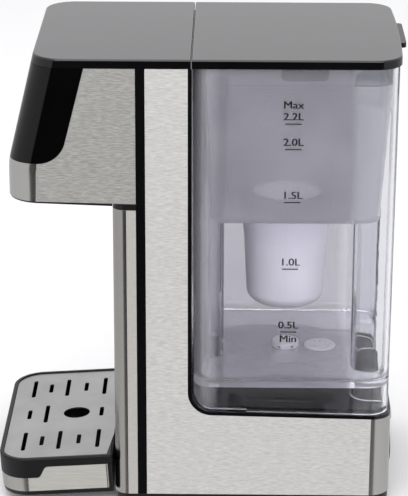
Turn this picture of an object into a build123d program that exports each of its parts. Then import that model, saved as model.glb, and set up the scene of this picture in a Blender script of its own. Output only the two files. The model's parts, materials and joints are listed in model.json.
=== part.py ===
"""Countertop instant hot-water dispenser with a lift-out water tank, in millimetres.

The spout faces -Y, +X is the user's right, +Z is up. The origin is on the worktop under the
middle of the machine. Each function makes one piece, and the table at the end names its file.
"""

from build123d import *
import math
import os

# Overall stations along each axis.
HALF_WIDTH = 71.0
TOP = 288.0
COVER_UNDERSIDE = 282.4
STEEL_BOTTOM = 8.0
BASE_BOTTOM = 3.0
COLUMN_FRONT = -51.6
STRIPE_FRONT = -37.2
PANEL_FRONT = -31.6
BAY_FRONT = -6.2
BODY_REAR = 119.6
LID_FRONT = -3.9
LID_REAR = 119.8
LID_BOW = 2.0
EAR_REAR = 124.9

# Sheet and wall thicknesses.
STEEL = 0.8
WALL = 2.0
RIM = 2.3
SEAM = 0.25

# Corner radii seen from above.
HEAD_CORNER = 18.0
COLUMN_CORNER = 8.5
LID_CORNER = 16.0
REAR_CORNER = 13.0

# Head: the front drops vertically, then leans back towards the top.
HEAD_FRONT = -114.2
HEAD_KINK = 221.0
HEAD_LEAN = math.radians(13.4)
HEAD_BOTTOM_FRONT = 200.4
HEAD_BOTTOM_REAR = 198.7
SPOUT_Y = -79.5

# Bay: its floor falls slightly to the rear and meets the column in an arc.
LEDGE_FRONT = 61.9
BAY_FALL = math.tan(math.radians(1.2))
BAY_CORNER = 15.0

# Tank, as half widths and ends at the bottom and at the top.
TANK_TOP = 282.0
TANK_LOW = (67.8, -2.8, 118.0)
TANK_HIGH = (68.4, -3.3, 119.4)
TANK_WALL = 2.6
TANK_FLOOR = 80.8
FLOOR_THICK = 2.4
FRONT_RECESS = (19.0, 13.0, 247.0)
REAR_RECESS = (42.5, 97.5, 250.0)
VALVE_Y = 54.9
STRAINER_Y = 77.0

# Funnel and filter.
FUNNEL_RIM = 271.0
FUNNEL_BOTTOM = 184.0
CUP_Y = 54.3
CUP_TOP = 183.6
CUP_BOTTOM = 113.0
CUP_RADIUS = 26.5

# Tray, drawn level and then tipped nose-down about its rear edge.
TRAY_REAR = -52.4
TRAY_FRONT = -124.2
TRAY_PIVOT = (0, -56.0, 20.0)
TRAY_TILT = 3.6
TRAY_CORNER = 19.0
GRILLE_TOP = 33.2
RIM_TOP = 33.9
GRILLE_INSET = 2.9
SLOT_ROWS = (42.0, 0.0, -42.0)
SLOT_COLUMNS = (-109.5, -98.4, -87.3, -75.0, -62.7)
SLOT_WIDTH = 2.7
SLOT_LONG = 27.5
SLOT_SHORT = 14.0
DRAIN_RADIUS = 8.5
DRAIN_Y = -78.9
BAND_END = -55.3

# Water path: pump on the X axis under the bay, heater upright in the column.
PUMP_Y = 54.9
PUMP_Z = 26.0
HEATER_X = 27.0
HEATER_Y = -29.0
TUBE_RADIUS = 4.0
TUBE_BORE = 2.5


def plan(half, front, rear, front_radius=0.0, rear_radius=0.0):
    """Rectangle seen from above, symmetric about X = 0, with rounded ends."""
    outline = Pos(0, (front + rear) / 2) * Rectangle(2 * half, rear - front)
    if front_radius:
        outline = fillet(outline.vertices().group_by(Axis.Y)[0], front_radius)
    if rear_radius:
        outline = fillet(outline.vertices().group_by(Axis.Y)[-1], rear_radius)
    return outline


def slab(outline, low, high):
    """A plan outline raised from one height to another."""
    return extrude(Pos(0, 0, low) * outline, high - low)


def taper(low_outline, low, high_outline, high):
    """A straight-sided body between two plan outlines."""
    return loft([Pos(0, 0, low) * low_outline, Pos(0, 0, high) * high_outline])


def block(x_low, x_high, y_low, y_high, z_low, z_high):
    """A box given by its limits."""
    centre = Pos((x_low + x_high) / 2, (y_low + y_high) / 2, (z_low + z_high) / 2)
    return centre * Box(x_high - x_low, y_high - y_low, z_high - z_low)


def post(radius, x, y, low, high):
    """An upright cylinder."""
    return Pos(x, y, (low + high) / 2) * Cylinder(radius, high - low)


def bar_x(radius, y, z, low, high):
    """A cylinder along X."""
    return Pos((low + high) / 2, y, z) * Rot(0, 90, 0) * Cylinder(radius, high - low)


def bar_y(radius, x, z, low, high):
    """A cylinder along Y."""
    return Pos(x, (low + high) / 2, z) * Rot(90, 0, 0) * Cylinder(radius, high - low)


def profile(points, half, radii=None):
    """A side outline of (Y, Z) points, as wide as 2 * half, with its corners rounded."""
    outline = make_face(Polyline(*points, close=True))
    for (y, z), radius in zip(points, radii or []):
        if radius:
            corner = outline.vertices().sort_by_distance((y, z, 0))[0]
            outline = fillet([corner], radius)
    return extrude(Plane.YZ * outline, half, both=True)


def both_sides(piece):
    """A piece and its mirror image across X = 0."""
    return [piece, mirror(piece, Plane.YZ)]


def tube(points, radius):
    """A hose bent round its corners, with its bore."""
    path = FilletPolyline(*points, radius=radius)
    start = Plane(origin=path @ 0, z_dir=path % 0)
    wall = Circle(TUBE_RADIUS) - Circle(TUBE_BORE)
    return sweep(start * wall, path=path)


# ---------------------------------------------------------------- head


def head_front(z, inset):
    """Y of the head's front face at a height."""
    if z <= HEAD_KINK:
        return HEAD_FRONT + inset
    return HEAD_FRONT + inset / math.cos(HEAD_LEAN) + (z - HEAD_KINK) * math.tan(HEAD_LEAN)


def head_body(inset, top, rear, bottom_front, bottom_rear):
    """The head as a solid, shrunk inwards by inset on its front and sides."""
    kink = HEAD_KINK + inset * math.tan(HEAD_LEAN / 2)
    points = [
        (rear, bottom_rear),
        (head_front(0, inset), bottom_front),
        (head_front(0, inset), kink),
        (head_front(top, inset), top),
        (rear, top),
    ]
    half = HALF_WIDTH - inset
    body = profile(points, half, [0, 0, 40.0, 0, 0])
    corners = [
        edge
        for edge in body.edges()
        if abs(abs(edge.center().X) - half) < 0.01
        and edge.center().Y < rear - 20
        and edge.bounding_box().size.Z > edge.bounding_box().size.Y * 1.5
    ]
    return fillet(corners, HEAD_CORNER - inset)


def glass_region(grow):
    """Everything forward of the control glass's outline, seen from the side."""
    lean = math.tan(HEAD_LEAN + math.radians(0.9))
    bottom = 223.8 - grow
    edge_top = -67.2 + grow
    edge_bottom = edge_top - (COVER_UNDERSIDE + 2 - bottom) * lean
    points = [
        (-140, bottom),
        (edge_bottom, bottom),
        (edge_top, COVER_UNDERSIDE + 2),
        (-140, COVER_UNDERSIDE + 2),
    ]
    return profile(points, HALF_WIDTH + 5, [0, 17.0, 0, 0])


def head_shell():
    """Brushed steel skirt round the head's sides and lower front."""
    outer = head_body(0, COVER_UNDERSIDE, STRIPE_FRONT - 0.1, HEAD_BOTTOM_FRONT, HEAD_BOTTOM_REAR)
    inner = head_body(STEEL, TOP + 10, 0, 150, 150)
    return outer - inner - glass_region(SEAM)


def control_glass():
    """Gloss black front window that wraps onto both sides."""
    outer = head_body(0, COVER_UNDERSIDE - 0.1, STRIPE_FRONT, 150, 150)
    inner = head_body(WALL, TOP + 10, 0, 140, 140)
    return (outer - inner) & glass_region(0)


def head_frame():
    """Moulded inner frame that carries the glass, the steel and the control board."""
    outer = head_body(2.2, COVER_UNDERSIDE - 0.2, COLUMN_FRONT, 201.6, 201.2)
    inner = head_body(4.2, TOP + 10, 0, 150, 150)
    window = block(-49, 49, -125, -70, 226, 276)
    frame = outer - inner - window
    for x in (-52, 52):
        for y in (-98, -64):
            wall = math.copysign(67.6, x)
            frame += post(4.0, x, y, 201.6, 214)
            frame += block(min(x, wall), max(x, wall), y - 1, y + 1, 204, 214)
            frame -= post(1.5, x, y, 200, 212)
    return frame


def underside(y):
    """Height of the head's lower face, which falls towards the column."""
    return 197.3 - (y - COLUMN_FRONT) * 0.0345


def head_underside():
    """Black plate that closes the head from below, with the spout's hole."""
    upper = [(-120, HEAD_BOTTOM_FRONT), (-30, HEAD_BOTTOM_REAR - 0.3)]
    lower = [(-30, underside(-30)), (-120, underside(-120))]
    rear = COLUMN_FRONT + 0.25
    plate = profile(upper + lower, HALF_WIDTH) & slab(
        plan(HALF_WIDTH - 0.6, HEAD_FRONT + 0.6, rear, HEAD_CORNER - 0.6), 190, 210
    )
    rim = slab(plan(HALF_WIDTH - 4.4, HEAD_FRONT + 4.4, rear - 1, HEAD_CORNER - 4.4), 198.9, 203.5)
    rim -= slab(plan(HALF_WIDTH - 6.0, HEAD_FRONT + 6.0, COLUMN_FRONT + 9, HEAD_CORNER - 6.0), 190, 210)
    plate += rim
    plate -= post(11.3, 0, SPOUT_Y, 190, 210)
    for x in (-52, 52):
        for y in (-98, -64):
            plate -= post(4.2, x, y, 201, 210)
            plate -= post(1.7, x, y, 190, 210)
    return plate


def column_collar():
    """Black ring between the column and the head."""
    outline = plan(HALF_WIDTH - 0.4, COLUMN_FRONT + 0.3, STRIPE_FRONT - 0.1, COLUMN_CORNER - 0.4)
    hollow = plan(69.95, COLUMN_FRONT + 0.95, 0, COLUMN_CORNER - 1.05)
    return slab(outline, 194.8, 198.6) - slab(hollow, 190, 200)


def top_cover():
    """Gloss black cover over the head and the column."""
    outer = head_body(0, TOP, LID_FRONT - 0.5, 150, 150)
    outer -= block(-80, 80, -130, 10, 140, COVER_UNDERSIDE + 0.1)
    outer = fillet(outer.faces().sort_by(Axis.Z)[-1].edges(), 1.1)
    inner = head_body(2.4, TOP - 2.6, LID_FRONT - 3, 140, 140)
    return outer - inner


def spout_nozzle():
    """Outlet spout, pushed up into the head from below."""
    spout = post(11.0, 0, SPOUT_Y, 191, 203) + post(13.5, 0, SPOUT_Y, 200.6, 202.4)
    spout += post(TUBE_RADIUS, 0, SPOUT_Y, 203, 212)
    tip = Pos(0, SPOUT_Y, 187.5) * Cone(7.5, 11.0, 7.0)
    return spout + tip - post(TUBE_BORE, 0, SPOUT_Y, 180, 213)


def board_place(x, depth, height):
    """Place on the leaning plane behind the control glass, depth mm behind its face."""
    z = 251.0
    return Pos(x, head_front(z, 0), z) * Rot(-math.degrees(HEAD_LEAN), 0, 0) * Pos(0, depth, height)


def control_board():
    """Touch control circuit board, behind the glass."""
    board = board_place(0, 10.0, 0) * Box(94, 1.6, 44)
    for x in (-30, -10, 18, 34):
        board += board_place(x, 11.8, -8) * Box(9, 2.2, 9)
    for x in (-43, 43):
        board -= board_place(x, 10.0, 18) * Rot(90, 0, 0) * Cylinder(1.6, 6)
    return board


def display_module():
    """Numeric display block between the board and the glass."""
    return board_place(0, 6.2, 11) * Box(34, 5.9, 13)


def touch_springs():
    """Contact cups that carry each touch key from the board to the glass."""
    cups = []
    for x in (-36, -18, 0, 18, 36):
        cup = Cylinder(4.5, 6.4) - Pos(0, 0, 1) * Cylinder(3.9, 6.4)
        cups.append(board_place(x, 5.9, -10) * Rot(90, 0, 0) * cup)
    return cups


# ---------------------------------------------------------------- column and base


def bay_cut(offset):
    """The space above the bay's floor and behind the column, shrunk by offset."""
    front = BAY_FRONT + offset
    floor = LEDGE_FRONT + offset
    reach = 160.0
    points = [
        (front, floor),
        (reach, floor - (reach - front) * BAY_FALL),
        (reach, 330),
        (front, 330),
    ]
    return profile(points, 90, [BAY_CORNER - offset, 0, 0, 0])


def steel_wrap(side):
    """L-shaped brushed steel side, which turns the rear corner below the tank."""
    outer = slab(plan(HALF_WIDTH, PANEL_FRONT, BODY_REAR, 0, REAR_CORNER), STEEL_BOTTOM, COVER_UNDERSIDE)
    inner = slab(plan(HALF_WIDTH - STEEL, -60, BODY_REAR - STEEL, 0, REAR_CORNER - STEEL), 0, 300)
    wrap = (outer - inner) - bay_cut(0)
    if side > 0:
        return wrap & block(48.2, 90, -40, 130, 0, 300)
    return wrap & block(-90, -48.2, -40, 130, 0, 300)


def rear_panel():
    """Black rear wall of the base, with vents and the cord's hole."""
    wall = block(-48, 48, BODY_REAR - 2.2, BODY_REAR - 0.1, STEEL_BOTTOM + 0.2, 58.0)
    for step in range(6):
        z = 34 + step * 4.2
        wall -= block(-38, -6, 110, 125, z, z + 2.2)
    wall -= bar_y(6.5, 30, 24, 110, 125)
    for x in (-42, 42):
        wall -= bar_y(1.6, x, 50, 110, 125)
        wall += bar_y(4.0, x, 50, BODY_REAR - 8, BODY_REAR - 2.1) - bar_y(1.5, x, 50, 100, 125)
    return wall


def cord_gland():
    """Moulded bush that the supply cord comes out through."""
    bush = bar_y(6.4, 30, 24, BODY_REAR - 8, BODY_REAR + 0.1)
    bush += bar_y(9.0, 30, 24, BODY_REAR - 0.1, BODY_REAR + 1.9)
    bush += bar_y(8.6, 30, 24, BODY_REAR - 5, BODY_REAR - 2.3)
    return bush - bar_y(3.6, 30, 24, 100, 130)


def bay_liner():
    """Black liner of the tank bay; its edge shows as a rim along the steel."""
    rim = slab(plan(HALF_WIDTH, BAY_FRONT, BODY_REAR, 0, REAR_CORNER), 20, COVER_UNDERSIDE)
    rim = rim & (bay_cut(0) - bay_cut(RIM))
    inside = plan(HALF_WIDTH - STEEL - 0.1, BAY_FRONT, BODY_REAR - 2.5, 0, REAR_CORNER - 2.5)
    floor = slab(inside, 20, 80) & (bay_cut(-2.0) - bay_cut(1.0))
    liner = rim + (floor & block(-80, 80, BAY_FRONT + 0.1, 130, 20, 75))
    well = slab(plan(69.4, -1.6, 118.7, 10, REAR_CORNER - 0.9), 20, 75) & bay_cut(1.1)
    liner -= well & block(-80, 80, 6, 130, 20, 75)
    liner += slab(plan(57, 19, 79, 10, 10), 58.5, 70) - slab(plan(54.5, 21.5, 76.5, 7.5, 7.5), 50, 67.8)
    liner += post(15.5, 0, VALVE_Y, 58.5, 70)
    for x in (-50, 50):
        for y in (16, 92):
            liner += post(4.5, x, y, STEEL_BOTTOM + 0.2, 60.5)
            liner -= post(1.5, x, y, 5, 40)
    return liner - post(12.2, 0, VALVE_Y, 40, 80)


def column_frame():
    """Moulded box inside the column, which everything else is fixed to."""
    outline = plan(69.9, COLUMN_FRONT + 1.0, BAY_FRONT - 0.1, COLUMN_CORNER - 1, 0)
    hollow = plan(67.9, COLUMN_FRONT + 3.0, BAY_FRONT - 2.1, COLUMN_CORNER - 3, 0)
    frame = slab(outline, STEEL_BOTTOM + 0.2, 282.2) - slab(hollow, 0, 300)
    frame -= block(-46, 46, -60, -45, 206, 276)
    frame -= bar_y(6.0, HEATER_X, PUMP_Z, -12, 0)
    for x in (-30, 30):
        frame -= block(x - 6, x + 6, -60, -45, 12, 24)
    return frame


def column_front():
    """Brushed steel front of the column, with slots for the tray's hooks."""
    outline = plan(HALF_WIDTH, COLUMN_FRONT, STRIPE_FRONT - 0.1, COLUMN_CORNER)
    hollow = plan(HALF_WIDTH - STEEL, COLUMN_FRONT + STEEL, 0, COLUMN_CORNER - STEEL)
    sheet = slab(outline, STEEL_BOTTOM, 194.7) - slab(hollow, 0, 300)
    for x in (-30, 30):
        sheet -= block(x - 6, x + 6, -60, -45, 12, 24)
    return sheet


def column_stripe(side):
    """Black trim strip between the two steel panels."""
    strip = block(69.9, 70.7, STRIPE_FRONT, PANEL_FRONT, STEEL_BOTTOM, COVER_UNDERSIDE)
    return strip if side > 0 else mirror(strip, Plane.YZ)


def base_pan():
    """Black base with a raised edge, which the feet and the screws go into."""
    outline = plan(70.4, COLUMN_FRONT + 0.6, BODY_REAR - 0.6, COLUMN_CORNER - 0.6, REAR_CORNER - 0.6)
    hollow = plan(67.0, COLUMN_FRONT + 4, BODY_REAR - 4, COLUMN_CORNER - 4, REAR_CORNER - 4)
    pan = slab(outline, BASE_BOTTOM, STEEL_BOTTOM)
    pan -= slab(hollow, BASE_BOTTOM + 2, STEEL_BOTTOM + 1)
    for x in (-50, 50):
        for y in (16, 92):
            pan += post(5.0, x, y, BASE_BOTTOM + 2, STEEL_BOTTOM)
            pan -= post(1.7, x, y, 0, 20) + post(3.4, x, y, 0, BASE_BOTTOM + 2.4)
    for x in (-56, 56):
        for y in (-36, 104):
            pan -= post(7.1, x, y, 0, BASE_BOTTOM + 0.6)
    for step in range(7):
        pan -= block(-24 + step * 8, -20.5 + step * 8, 74, 98, 0, 10)
    return pan


def rubber_feet():
    """Four rubber pads under the base."""
    pads = []
    for x in (-56, 56):
        for y in (-36, 104):
            pad = post(7.0, x, y, 0, BASE_BOTTOM + 0.5)
            pads.append(fillet(pad.faces().sort_by(Axis.Z)[0].edges(), 0.8))
    return pads


def screw(radius, length, head_radius, head_height):
    """A pan-head screw that points up, with its head's lower face at height 0."""
    body = Pos(0, 0, head_height / 2) * Cylinder(head_radius, head_height)
    body = fillet(body.faces().sort_by(Axis.Z)[0].edges(), head_height * 0.45)
    body += Pos(0, 0, head_height + length / 2) * Cylinder(radius, length)
    for turn in (0, 90):
        body -= Rot(0, 0, turn) * Box(head_radius * 1.1, 0.7, 1.4)
    return body


def base_screws():
    """Screws up through the base into the liner's posts."""
    spots = [(x, y) for x in (-50, 50) for y in (16, 92)]
    return [Pos(x, y, BASE_BOTTOM + 0.4) * screw(1.45, 18, 3.2, 1.9) for x, y in spots]


def head_screws():
    """Screws up through the head's underside into its frame."""
    spots = [(x, y) for x in (-52, 52) for y in (-98, -64)]
    return [Pos(x, y, underside(y) - 1.45) * screw(1.45, 12, 3.0, 1.3) for x, y in spots]


def rear_screws():
    """Screws through the rear panel."""
    places = [Pos(x, BODY_REAR + 1.5, 50) * Rot(90, 0, 0) for x in (-42, 42)]
    return [place * screw(1.4, 8, 3.0, 1.5) for place in places]


# ---------------------------------------------------------------- water path inside the body


def tank_socket():
    """Cup in the bay that takes the tank's valve, with the pin that opens it."""
    cup = post(12.0, 0, VALVE_Y, 48, 70.6) - post(9.7, 0, VALVE_Y, 50, 75)
    cup += post(15.0, 0, VALVE_Y, 56.0, 57.8) - post(9.7, 0, VALVE_Y, 50, 75)
    cup += post(TUBE_RADIUS, 0, VALVE_Y, 40, 48.5) - post(TUBE_BORE, 0, VALVE_Y, 30, 49)
    cup -= post(TUBE_BORE, 0, VALVE_Y, 30, 50.5)
    cup += block(-10, 10, VALVE_Y - 0.8, VALVE_Y + 0.8, 49.9, 52) + post(1.4, 0, VALVE_Y, 50.2, 54.4)
    return cup - (Pos(0, VALVE_Y, 64) * Torus(9.15, 0.55))


def socket_seal():
    """Rubber ring between the socket and the tank's valve."""
    return Pos(0, VALVE_Y, 64) * Torus(9.15, 0.53)


def intake_tube():
    """Hose from the socket to the pump."""
    return tube([(0, VALVE_Y, 40), (0, VALVE_Y, PUMP_Z), (14, VALVE_Y, PUMP_Z)], 9)


def pump_housing():
    """Pump chamber with its inlet and outlet stubs."""
    chamber = bar_x(16, PUMP_Y, PUMP_Z, 20, 34) + bar_x(TUBE_RADIUS, PUMP_Y, PUMP_Z, 14, 20.5)
    chamber += bar_y(TUBE_RADIUS, HEATER_X, PUMP_Z, PUMP_Y - 22, PUMP_Y - 14)
    chamber -= bar_x(13, PUMP_Y, PUMP_Z, 22, 32) + bar_x(TUBE_BORE, PUMP_Y, PUMP_Z, 10, 23)
    chamber -= bar_y(TUBE_BORE, HEATER_X, PUMP_Z, PUMP_Y - 25, PUMP_Y - 10)
    return chamber - bar_x(1.55, PUMP_Y, PUMP_Z, 30, 40)


def pump_motor():
    """Steel can of the pump's motor."""
    can = bar_x(14, PUMP_Y, PUMP_Z, 34, 66) - bar_x(11.6, PUMP_Y, PUMP_Z, 36, 64)
    return can - bar_x(1.55, PUMP_Y, PUMP_Z, 30, 70)


def pump_impeller():
    """Bladed wheel in the pump chamber."""
    wheel = bar_x(12, PUMP_Y, PUMP_Z, 24.5, 26) + bar_x(3.2, PUMP_Y, PUMP_Z, 24.5, 31)
    for blade in range(6):
        fin = Pos(28.2, 0, 7) * Box(4.6, 1.4, 9)
        wheel += Pos(0, PUMP_Y, PUMP_Z) * Rot(blade * 60, 0, 0) * fin
    return wheel - bar_x(1.5, PUMP_Y, PUMP_Z, 20, 40)


def motor_rotor():
    """Motor shaft with its armature."""
    shaft = bar_x(1.5, PUMP_Y, PUMP_Z, 24.5, 65.5)
    armature = bar_x(10.6, PUMP_Y, PUMP_Z, 41, 59)
    for pole in range(3):
        slot = Pos(50, 0, 8.5) * Box(20, 2.2, 6)
        armature -= Pos(0, PUMP_Y, PUMP_Z) * Rot(pole * 120, 0, 0) * slot
    return shaft + armature


def pump_cradle():
    """Saddle that holds the motor off the base."""
    saddle = block(40, 60, PUMP_Y - 12, PUMP_Y + 12, BASE_BOTTOM + 2, PUMP_Z - 6)
    return saddle - bar_x(14.05, PUMP_Y, PUMP_Z, 30, 70)


def feed_tube():
    """Hose from the pump into the column and up to the heater."""
    return tube(
        [(HEATER_X, PUMP_Y - 22, PUMP_Z), (HEATER_X, HEATER_Y, PUMP_Z), (HEATER_X, HEATER_Y, 118)], 18
    )


def flow_heater():
    """Tubular heater that brings the water to temperature as it passes."""
    heater = post(17, HEATER_X, HEATER_Y, 122, 226) + post(TUBE_RADIUS, HEATER_X, HEATER_Y, 118, 232)
    for step in range(8):
        z = 128 + step * 12.5
        groove = post(17.5, HEATER_X, HEATER_Y, z, z + 3)
        heater -= groove - post(15.8, HEATER_X, HEATER_Y, z - 1, z + 4)
    return heater - post(TUBE_BORE, HEATER_X, HEATER_Y, 110, 240)


def heater_bracket():
    """Strap that ties the heater to the column's rear wall."""
    strap = post(18.4, HEATER_X, HEATER_Y, 157, 162.5) - post(17.05, HEATER_X, HEATER_Y, 150, 170)
    return strap + block(HEATER_X - 9, HEATER_X + 9, HEATER_Y + 17.3, BAY_FRONT - 2.15, 157, 162.5)


def thermal_cutout():
    """Safety cut-out pressed against the heater."""
    body = block(HEATER_X - 24, HEATER_X - 14, HEATER_Y - 5, HEATER_Y + 5, 196, 208)
    body += block(HEATER_X - 27, HEATER_X - 23.5, HEATER_Y - 3, HEATER_Y - 1, 199, 205)
    return body - post(17.05, HEATER_X, HEATER_Y, 190, 215)


def outlet_tube():
    """Hose from the heater over to the spout."""
    return tube(
        [(HEATER_X, HEATER_Y, 232), (HEATER_X, HEATER_Y, 257), (0, SPOUT_Y, 257), (0, SPOUT_Y, 212)], 16
    )


def power_board():
    """Mains circuit board along the column's left wall."""
    return block(-65.4, -63.8, -46, -12, 60, 200)


def board_parts():
    """Relay, capacitor, transformer and heat sink on the mains board."""
    parts = [block(-63.8, -48, -42, -26, 70, 88), block(-63.8, -40, -42, -18, 128, 150)]
    parts.append(bar_x(7, -30, 106, -63.8, -45))
    fins = block(-63.8, -58, -44, -14, 170, 192)
    for y in (-41, -22):
        fins -= block(-61, -50, y, y + 5, 160, 200)
    parts.append(fins)
    return parts


def level_sensor():
    """Low-water sensor board on the column's wall, facing the tank."""
    return block(-12, 12, -10.4, -8.4, 84, 104) + block(-5, 5, -13.4, -10.3, 88, 98)


# ---------------------------------------------------------------- tank


def tank_recesses(grow):
    """Front and rear recesses in the tank's walls, grown by a wall's thickness."""
    front_half, front_reach, front_top = FRONT_RECESS
    rear_half, rear_reach, rear_top = REAR_RECESS
    front = slab(plan(front_half + grow, -30, front_reach + grow, 0, 4.0 + grow), 50, front_top + grow)
    rear = slab(plan(rear_half + grow, rear_reach - grow, 150, 9.0 + grow, 0), 50, rear_top + grow)
    return front + rear


def tank_inside(low, shrink):
    """The tank's water space above a height, shrunk on all sides."""
    wall = TANK_WALL + shrink
    low_plan = plan(TANK_LOW[0] - wall, TANK_LOW[1] + wall + 0.8, TANK_LOW[2] - wall, 8.0, 11.0)
    high_plan = plan(TANK_HIGH[0] - wall, TANK_HIGH[1] + wall + 0.8, TANK_HIGH[2] - wall, 8.0, 11.0)
    return taper(low_plan, low, high_plan, TANK_TOP + 1)


def tank_body():
    """Clear smoke-tinted water tank: box, skirt, front channel and rear hand grip."""
    outer = taper(plan(*TANK_LOW, 9.5, 14), 50, plan(*TANK_HIGH, 9.5, 14), TANK_TOP)
    foot = [
        (-20, 40),
        (140, 40),
        (140, LEDGE_FRONT + 1.5 - (140 - BAY_FRONT) * BAY_FALL),
        (-20, LEDGE_FRONT + 1.5 + (20 + BAY_FRONT) * BAY_FALL),
    ]
    outer -= profile(foot, 80)
    outer -= bay_corner_relief()
    water = tank_inside(TANK_FLOOR, 0)
    water = fillet(water.faces().sort_by(Axis.Z)[0].edges(), 6.5)
    under = plan(TANK_LOW[0] - TANK_WALL, TANK_LOW[1] + 3.4, TANK_LOW[2] - TANK_WALL, 7, 11)
    skirt = slab(under, 40, TANK_FLOOR - FLOOR_THICK)
    guard = tank_recesses(TANK_WALL - 0.2)
    tank = outer - (water - guard) - (skirt - guard) - tank_recesses(0)
    tank -= post(8.5, 0, VALVE_Y, 70, 90)
    tank -= post(10.2, 0, STRAINER_Y, TANK_FLOOR - 1.0, 90)
    return tank


def bay_corner_relief():
    """What the tank's lower front edge gives up to clear the bay's curved corner."""
    keep = bay_cut(RIM + 0.6)
    return block(-80, 80, -20, 30, 40, 100) - keep


def tank_valve():
    """Valve housing pressed through the tank's floor."""
    body = post(8.4, 0, VALVE_Y, 57, TANK_FLOOR + 0.5)
    body += post(8.6, 0, VALVE_Y, TANK_FLOOR, TANK_FLOOR + 3.4)
    body = fillet(body.faces().sort_by(Axis.Z)[-1].edges(), 0.9)
    body -= post(6.2, 0, VALVE_Y, 60, TANK_FLOOR + 1.4) + post(3.6, 0, VALVE_Y, 50, 61)
    for turn in range(3):
        slot = Box(30, 2.2, 1.5)
        body -= Pos(0, VALVE_Y, TANK_FLOOR + 1.1) * Rot(0, 0, turn * 60 + 30) * slot
    return body


def valve_poppet():
    """Poppet that closes the valve when the tank is lifted out."""
    stem = post(1.4, 0, VALVE_Y, 54.9, 76) + post(5.4, 0, VALVE_Y, 60.05, 62)
    return stem


def valve_spring():
    """Spring that pushes the poppet shut."""
    helix = Helix(pitch=3.0, height=15.0, radius=3.6)
    start = Plane(origin=helix @ 0, z_dir=helix % 0)
    return Pos(0, VALVE_Y, 62.6) * sweep(start * Circle(0.35), path=helix)


def tank_strainer():
    """Perforated disc let into the tank's floor."""
    disc = post(10.0, 0, STRAINER_Y, TANK_FLOOR - 1.0, TANK_FLOOR + 0.6)
    disc = fillet(disc.faces().sort_by(Axis.Z)[-1].edges(), 0.4)
    for ring, count in ((3.0, 6), (6.0, 12)):
        for hole in range(count):
            angle = hole * 2 * math.pi / count
            disc -= post(0.8, ring * math.cos(angle), STRAINER_Y + ring * math.sin(angle), 70, 90)
    return disc


# ---------------------------------------------------------------- funnel, filter and lid


def funnel_outline(low, high, inset):
    """Funnel walls: a tapered box that clears the tank's two recesses."""
    top = plan(65.3 - inset, 1.4 + inset, 115.6 - inset, 8, 11)
    bottom = plan(61.0 - inset, 6.6 + inset, 110.0 - inset, 7, 12)
    span = taper(bottom, FUNNEL_BOTTOM, top, FUNNEL_RIM)
    span = span & block(-80, 80, -10, 130, low, high)
    return span


def funnel_notches(grow):
    """Room in the funnel for the tank's recesses."""
    front_half, front_reach, front_top = FRONT_RECESS
    rear_half, rear_reach, rear_top = REAR_RECESS
    gap = TANK_WALL + 0.6 + grow
    front = slab(plan(front_half + gap, -30, front_reach + gap, 0, 6 + grow), 150, front_top + gap)
    rear = slab(plan(rear_half + gap, rear_reach - gap, 150, 10 + grow, 0), 150, rear_top + gap)
    return front + rear


def funnel():
    """Clear hopper hung in the tank's mouth, which feeds the filter."""
    wall = 1.8
    shell = funnel_outline(FUNNEL_BOTTOM, FUNNEL_RIM, 0) - funnel_notches(0)
    hollow = funnel_outline(FUNNEL_BOTTOM + 2, FUNNEL_RIM + 1, wall) - funnel_notches(wall)
    body = shell - hollow
    collar = slab(plan(65.3, 1.4, 115.6, 8, 11), FUNNEL_RIM, 281.6)
    collar -= slab(plan(63.5, 3.2, 113.8, 6.2, 9.2), FUNNEL_RIM - 1, 290)
    pour = [(91.8, FUNNEL_RIM), (91.8, 281.2), (114.6, 281.2), (114.6, FUNNEL_RIM)]
    collar -= profile(pour, 90, [0, 8.0, 0, 0])
    body += collar
    body += slab(plan(65.3, 1.4, 115.6, 8, 11), FUNNEL_RIM - 2.4, FUNNEL_RIM) - slab(
        plan(62.6, 4.1, 112.9, 6, 9), 200, 290
    )
    body -= post(22.0, 0, CUP_Y, 150, FUNNEL_BOTTOM + 6)
    body -= block(-21.4, 21.4, -10, 4, 160, FUNNEL_RIM - 22)
    return body


def filter_cup():
    """Translucent cup that hangs under the funnel and holds the cartridge."""
    top = CUP_TOP
    ring = post(CUP_RADIUS + 3.2, 0, CUP_Y, top - 3.0, top)
    neck = Pos(0, CUP_Y, top - 15) * Cone(CUP_RADIUS, CUP_RADIUS + 3.2, 24)
    height = top - 27 - CUP_BOTTOM
    wall = Pos(0, CUP_Y, CUP_BOTTOM + height / 2) * Cone(CUP_RADIUS - 2.2, CUP_RADIUS, height)
    wall = fillet(wall.faces().sort_by(Axis.Z)[0].edges(), 8)
    cup = ring + neck + wall
    hollow = Cone(CUP_RADIUS - 4.0, CUP_RADIUS - 1.6, top - CUP_BOTTOM)
    hollow = Pos(0, CUP_Y, (CUP_BOTTOM + top) / 2 + 1.8) * hollow
    hollow = fillet(hollow.faces().sort_by(Axis.Z)[0].edges(), 6.5)
    cup -= hollow
    for turn in range(6):
        window = Pos(13, 0, 0) * Box(9, 2, 8)
        cup -= Pos(0, CUP_Y, CUP_BOTTOM) * Rot(0, 0, turn * 60) * window
    return cup


def filter_cartridge():
    """Pale filter cartridge inside the cup."""
    low = CUP_BOTTOM + 5
    high = CUP_TOP - 12
    core = Pos(0, CUP_Y, (low + high) / 2) * Cone(CUP_RADIUS - 5.2, CUP_RADIUS - 3.2, high - low)
    return fillet(core.faces().sort_by(Axis.Z)[-1].edges(), 2)


def lid_outline(inset):
    """Plan of the lid, bowed slightly outwards at the rear."""
    half = HALF_WIDTH - inset
    front = LID_FRONT + inset
    rear = LID_REAR - inset
    lines = Polyline((-half, rear), (-half, front), (half, front), (half, rear))
    lines += ThreePointArc((half, rear), (0, rear + LID_BOW), (-half, rear))
    outline = make_face(lines)
    return fillet(outline.vertices().group_by(Axis.Y)[-1], LID_CORNER - inset)


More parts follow.
